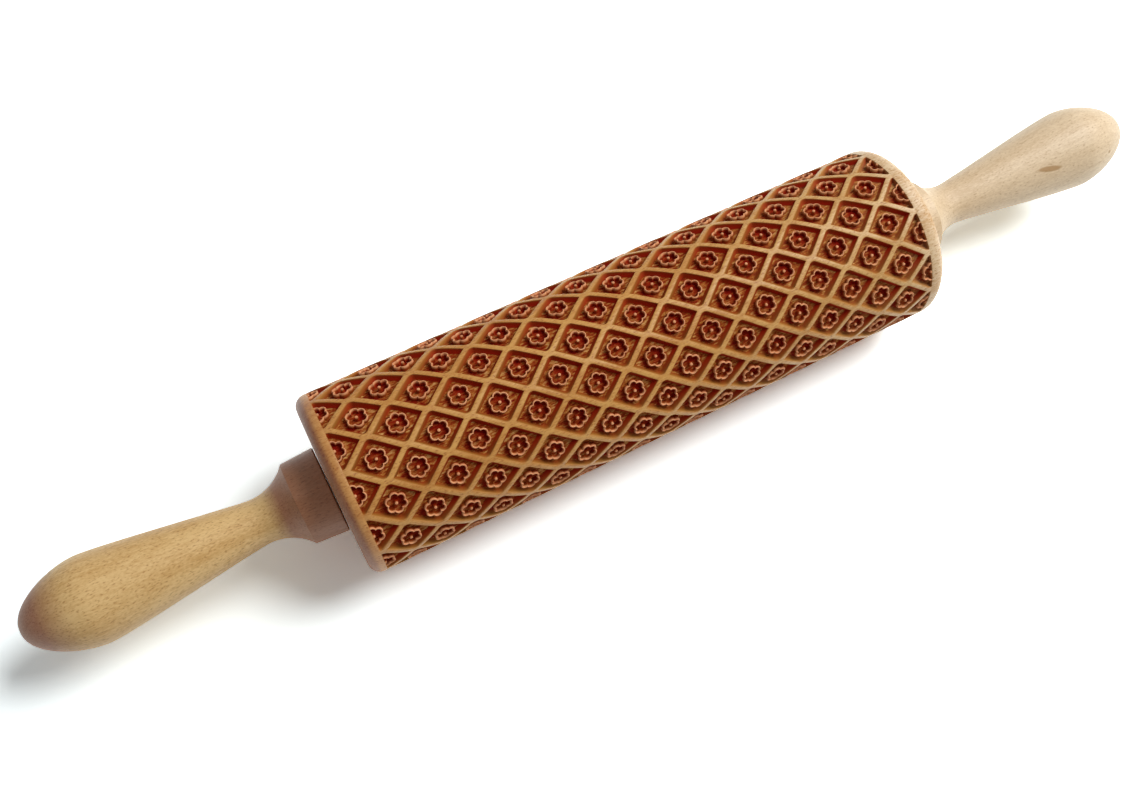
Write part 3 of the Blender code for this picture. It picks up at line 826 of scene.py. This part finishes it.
def bare_colour(tree, grain):
    share = pin_share(tree)
    # Painted light: darker at the left end, painted shade, and paler at the right end, painted sheen.
    pale = ramp(
        tree,
        share,
        (0.0, srgb(196, 140, 82)),
        (0.05, srgb(206, 152, 78)),
        (0.5, srgb(212, 160, 84)),
        (0.93, srgb(211, 170, 108)),
        (1.0, srgb(236, 212, 178)),
    )
    deep = blend_colours(tree, 1.0, pale, srgb(224, 198, 160), "MULTIPLY")
    fleck = blend_colours(tree, 1.0, pale, srgb(184, 146, 112), "MULTIPLY")
    flecked = wood_colour(tree, grain, pale, deep, fleck, 0.65)
    # Painted shade: the end grain is darkened at the left end only, which faces away from the lamp.
    left_end = maths(tree, "MULTIPLY", grain["End Grain"], ramp(tree, share, (0.0, 0.8), (1.0, 0.0)))
    return painted_shade(tree, flecked, left_end)


def build_bare_wood():
    material, tree, shader = start_material("bare beech")
    grain = grain_in(tree, 0.75, 17.0)
    tree.links.new(bare_colour(tree, grain), shader.inputs["Base Color"])
    rough = maths(tree, "MULTIPLY_ADD", grain["Streaks"], 0.16, 0.40)
    tree.links.new(rough, shader.inputs["Roughness"])
    bump = place(tree, "Bump", {"Height": grain["Height"], "Strength": 0.5, "Distance": 0.08 * MM})
    tree.links.new(bump.outputs["Normal"], shader.inputs["Normal"])
    return material


bare_wood = build_bare_wood()
print(bare_wood.name, "has", len(bare_wood.node_tree.nodes), "nodes")

# %% [markdown]
# In the pockets the wood is scorched, and the depth number tells how. At the rim the heat has turned it pink-brown.
# Down the wall it goes golden brown on the lit side and maroon on the side away from the lamp: the maroon is a shaded
# copy of the wall's colour, painted shade, and the burn-and-shade number mixes the two. The floor is burnt too, but
# patchy, with pale streaks along the grain where ash came off, and it has a lit and a painted shaded copy in the same
# way. The flowers' crests are only singed, like the rims. Charred wood has no sheen at all, so this is a material of
# its own.

# %% Scorched beech
FLOOR_PATCH_LENGTH = 2.6 * MM
FLOOR_PATCH_WIDTH = 0.8 * MM


def floor_colour(tree, burn_and_shade):
    """Patchy burnt wood: pale and dark patches drawn out along the grain, darker in painted shade and deeper burn."""
    position = place(tree, "TexCoord").outputs["Object"]
    scale = (1 / FLOOR_PATCH_LENGTH, 1 / FLOOR_PATCH_WIDTH, 1 / FLOOR_PATCH_WIDTH)
    stretched = place(tree, "VectorMath", {0: position, 1: scale}, operation="MULTIPLY").outputs[0]
    patches = place(tree, "TexNoise", {"Vector": stretched, "Scale": 1.0, "Detail": 5.0, "Roughness": 0.65})
    lit_floor = ramp(
        tree,
        patches.outputs["Fac"],
        (0.36, srgb(112, 22, 3)),
        (0.45, srgb(144, 64, 18)),
        (0.54, srgb(182, 120, 50)),
        (0.66, srgb(222, 182, 116)),
    )
    # The shaded copy of the floor's colour: painted shade, and inside the flower partly a deeper burn.
    shaded_floor = ramp(tree, patches.outputs["Fac"], (0.40, srgb(124, 10, 1)), (0.56, srgb(142, 22, 2)), (0.68, srgb(172, 92, 36)))
    return blend_colours(tree, burn_and_shade, lit_floor, shaded_floor)


def build_scorched_wood():
    material, tree, shader = start_material("scorched beech")
    grain = grain_in(tree, 0.55, 17.0)
    depth, crest, burn_and_shade = (
        place(tree, "Attribute", attribute_name=name).outputs["Fac"] for name in ("depth_share", "crest", "burn_and_shade")
    )
    # Lit and shaded copies of the wall's colour: the shaded one is painted shade on walls facing away from the lamp.
    lit_wall = ramp(
        tree, depth, (0.03, srgb(194, 138, 86)), (0.2, srgb(170, 118, 54)), (0.45, srgb(152, 96, 36)), (0.8, srgb(142, 70, 22))
    )
    shaded_wall = ramp(
        tree, depth, (0.03, srgb(186, 128, 78)), (0.15, srgb(166, 74, 28)), (0.35, srgb(154, 36, 5)), (0.8, srgb(150, 24, 2))
    )
    wall = blend_colours(tree, burn_and_shade, lit_wall, shaded_wall)
    colour = blend_colours(tree, ramp(tree, depth, (0.0, 0.0), (0.05, 1.0)), bare_colour(tree, grain), wall)
    floor = ramp(tree, depth, (0.85, 0.0), (0.98, 1.0))
    colour = blend_colours(tree, floor, colour, floor_colour(tree, burn_and_shade))
    # Painted sheen: towards the right end, where the lamp's light glances, the lit side is mixed with bare colour.
    painted_sheen_share = maths(tree, "MULTIPLY", maths(tree, "SUBTRACT", 1.0, burn_and_shade), ramp(tree, pin_share(tree), (0.6, 0.0), (1.0, 0.3)))
    colour = blend_colours(tree, painted_sheen_share, colour, bare_colour(tree, grain))
    crest_colour = wood_colour(tree, grain, srgb(238, 172, 124), srgb(218, 146, 102), srgb(156, 90, 54), 0.4)
    colour = blend_colours(tree, ramp(tree, crest, (0.55, 0.0), (0.95, 1.0)), colour, crest_colour)
    tree.links.new(colour, shader.inputs["Base Color"])
    tree.links.new(maths(tree, "MULTIPLY_ADD", depth, 0.3, 0.6), shader.inputs["Roughness"])
    shader.inputs["Specular IOR Level"].default_value = 0.1
    bump = place(tree, "Bump", {"Height": grain["Height"], "Strength": 0.5, "Distance": 0.08 * MM})
    tree.links.new(bump.outputs["Normal"], shader.inputs["Normal"])
    return material


scorched_wood = build_scorched_wood()
print(scorched_wood.name, "has", len(scorched_wood.node_tree.nodes), "nodes")

# %% [markdown]
# One mesh takes both woods. A face whose corners all lie at the old surface is bare, and every other face is scorched.

# %% Make the roller
ATTRIBUTE_COLUMNS = {"depth_share": 3, "crest": 4, "burn_and_shade": 5}


def build_roller():
    piece = finish_mesh("carved_roller", drum_points.tolist(), drum_faces, bare_wood)
    piece.data.materials.append(scorched_wood)
    for name, column in ATTRIBUTE_COLUMNS.items():
        attribute = piece.data.attributes.new(name, "FLOAT", "POINT")
        attribute.data.foreach_set("value", drum_places[:, column].astype(np.float32))
    touched = (drum_places[:, ATTRIBUTE_COLUMNS["depth_share"]] > 0).tolist()
    slots = [int(any(touched[corner] for corner in face)) for face in drum_faces]
    piece.data.polygons.foreach_set("material_index", slots)
    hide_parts("roller")
    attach(piece, "roller_assembly")
    return piece


roller = build_roller()
print(roller.name, "has", len(roller.data.vertices), "points")

# %% [markdown]
# ## The metal inside
#
# The rod, the washers and the bearings sit where nobody sees them until the pin is taken apart. They keep the frame's
# own shapes. Drawn steel has fine lines along its length and sheet steel has lines round it, and both come from one
# group that makes a fine stretched noise for the roughness and the bump.

# %% Steel and nylon
def build_brushing():
    group, given, result = start_group(
        "Fine lines",
        [("Position", "Vector", None), ("Line Size", "Vector", (1.0, 1.0, 1.0))],
        [("Lines", "Float")],
    )
    scaled = place(group, "VectorMath", {0: given["Position"], 1: given["Line Size"]}, operation="DIVIDE")
    noise = place(group, "TexNoise", {"Vector": scaled.outputs[0], "Scale": 1.0, "Detail": 3.0})
    group.links.new(noise.outputs["Fac"], result["Lines"])
    return group


brushing_group = build_brushing()


def build_steel(name, colour, roughness, line_size):
    material, tree, shader = start_material(name)
    position = place(tree, "TexCoord").outputs["Object"]
    lines = tree.nodes.new("ShaderNodeGroup")
    lines.node_tree = brushing_group
    lines.inputs["Line Size"].default_value = line_size
    tree.links.new(position, lines.inputs["Position"])
    rough = maths(tree, "ADD", roughness, maths(tree, "MULTIPLY", lines.outputs["Lines"], roughness / 2))
    tree.links.new(rough, shader.inputs["Roughness"])
    tone = ramp(tree, lines.outputs["Lines"], (0.3, colour), (0.7, tuple(0.85 * c for c in colour[:3]) + (1.0,)))
    tree.links.new(tone, shader.inputs["Base Color"])
    bump = place(tree, "Bump", {"Height": lines.outputs["Lines"], "Strength": 0.2, "Distance": 0.01 * MM})
    tree.links.new(bump.outputs["Normal"], shader.inputs["Normal"])
    shader.inputs["Metallic"].default_value = 1.0
    return material


steels = {
    "axle_rod": build_steel("drawn steel", srgb(190, 190, 192), 0.28, (4 * MM, 0.05 * MM, 0.05 * MM)),
    "washer": build_steel("zinc plate", srgb(196, 194, 188), 0.34, (0.3 * MM, 0.3 * MM, 0.3 * MM)),
    "_ring": build_steel("ground steel", srgb(202, 202, 206), 0.16, (0.04 * MM, 1.5 * MM, 1.5 * MM)),
    "shield": build_steel("pressed sheet", srgb(180, 180, 184), 0.26, (0.5 * MM, 0.2 * MM, 0.2 * MM)),
    "ball": build_steel("polished steel", srgb(212, 212, 216), 0.06, (0.5 * MM, 0.5 * MM, 0.5 * MM)),
}
print("Steels:", ", ".join(material.name for material in steels.values()))


# %% Dress the inner nodes
def build_nylon():
    material, tree, shader = start_material("natural nylon")
    position = place(tree, "TexCoord").outputs["Object"]
    scaled = place(tree, "VectorMath", {0: position, 3: 1 / (0.6 * MM)}, operation="SCALE").outputs[0]
    noise = place(tree, "TexNoise", {"Vector": scaled, "Scale": 1.0, "Detail": 2.0}).outputs["Fac"]
    tree.links.new(ramp(tree, noise, (0.3, srgb(226, 218, 198)), (0.7, srgb(212, 202, 178))), shader.inputs["Base Color"])
    tree.links.new(maths(tree, "ADD", 0.4, maths(tree, "MULTIPLY", noise, 0.2)), shader.inputs["Roughness"])
    return material


nylon = build_nylon()
for node_name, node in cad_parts.items():
    kinds = [kind for kind in steels if kind in node_name]
    if kinds:
        node.material_slots[0].material = steels[kinds[0]]
    elif "cage" in node_name:
        node.material_slots[0].material = nylon
print("Dressed", sum("bearing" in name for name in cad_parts), "bearing nodes")

# %% [markdown]
# ## Floor and light
#
# The pin lies on a white sheet, which is brighter in the photograph than the pin is, as in any picture with a white
# background. So the sheet has two shades. The one that lights the pin from below is that of plain paper. The one that
# the camera sees, also in a reflection, is brighter than white, so it shows white wherever light falls and keeps only
# the deep part of the pin's shadow. It is also a little blue, because the light that the wood throws into its own
# shadow is orange, and the shadow in the photograph is a plain grey.
#
# The lamp lights only the middle of the sheet, so a low view would show a grey horizon. Away from the pin the sheet
# therefore turns into the plain white of the sky, and no edge shows. Only the rays that are seen meet that white.
#
# A large lamp stands to the right, beyond the right handle and half way up, because the pockets' shadows fall to the
# left and are about as long as the pockets are deep. The sky gives the rest, evenly.

# %% The white sheet
FLOOR_SIZE = 6.0
FLOOR_SHADE = (0.8, 0.8, 0.8, 1.0)
FLOOR_SEEN_SHADE = (2.05, 2.2, 2.22, 1.0)
FADE_START = 0.4
FADE_END = 1.0


def seen_rays(tree):
    """1 for a ray that the camera, a reflection or glass looks along, and 0 for light that falls on things."""
    rays = place(tree, "LightPath").outputs
    mirrored = maths(tree, "MAXIMUM", rays["Is Glossy Ray"], rays["Is Transmission Ray"])
    return maths(tree, "MAXIMUM", rays["Is Camera Ray"], mirrored)


def build_floor():
    material, tree, _ = start_material("white sheet")
    seen = seen_rays(tree)
    shade = blend_colours(tree, seen, FLOOR_SHADE, FLOOR_SEEN_SHADE)
    paper = place(tree, "BsdfDiffuse", {"Color": shade}).outputs[0]
    position = place(tree, "TexCoord").outputs["Object"]
    away = place(tree, "VectorMath", {0: position}, operation="LENGTH").outputs["Value"]
    far = place(tree, "MapRange", {"Value": away, "From Min": FADE_START, "From Max": FADE_END}).outputs[0]
    white = place(tree, "Emission", {"Strength": 1.0}).outputs[0]
    surface = place(tree, "MixShader", {0: maths(tree, "MULTIPLY", far, seen), 1: paper, 2: white}).outputs[0]
    tree.links.new(surface, tree.nodes["Material Output"].inputs["Surface"])
    half, level = FLOOR_SIZE / 2, AXIS_HEIGHT - ROLLER_RADIUS
    corners = [(-half, -half, level), (half, -half, level), (half, half, level), (-half, half, level)]
    sheet = finish_mesh("white_sheet", corners, [(0, 1, 2, 3)], material)
    sheet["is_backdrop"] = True
    return sheet


floor = build_floor()
print(f"The sheet lies at {(AXIS_HEIGHT - ROLLER_RADIUS) / MM:.2f} mm")

# %% Lamp and sky
LAMP_DIRECTION = Vector((0.61, -0.04, 0.79)).normalized()
LAMP_DISTANCE = 1.6
LAMP_SIZE = 1.1
LAMP_POWER = 23.0
SKY_STRENGTH = 0.20


def build_lamp():
    lamp = bpy.data.lights.new("window", "AREA")
    lamp.shape = "DISK"
    lamp.size = LAMP_SIZE
    lamp.energy = LAMP_POWER
    stand = bpy.data.objects.new("window", lamp)
    stand.location = LAMP_DIRECTION * LAMP_DISTANCE
    stand.rotation_euler = LAMP_DIRECTION.to_track_quat("Z", "Y").to_euler()
    bpy.context.scene.collection.objects.link(stand)


def build_sky():
    world = bpy.data.worlds.new("sky")
    bpy.context.scene.world = world
    world.use_nodes = True
    tree = world.node_tree
    strength = place(tree, "Mix", {0: seen_rays(tree), 2: SKY_STRENGTH, 3: 1.0}, data_type="FLOAT").outputs[0]
    tree.links.new(strength, tree.nodes["Background"].inputs["Strength"])
    tree.nodes["Background"].inputs["Color"].default_value = (1.0, 1.0, 1.0, 1.0)


build_lamp()
build_sky()
print("Lamp at", LAMP_DISTANCE, "m and a sky of strength", SKY_STRENGTH)

# %% [markdown]
# ## Closing
#
# The dressed pin has to stay the size of the frame, so the growth of its box over the frame's box is printed.

# %% Compare the sizes and finish
dressed_box = [list(corner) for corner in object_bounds()]
growth = [round((d - c) / MM, 2) for corners in zip(dressed_box, cad_box) for d, c in zip(*corners)]
print("Growth of the box in mm:", growth)
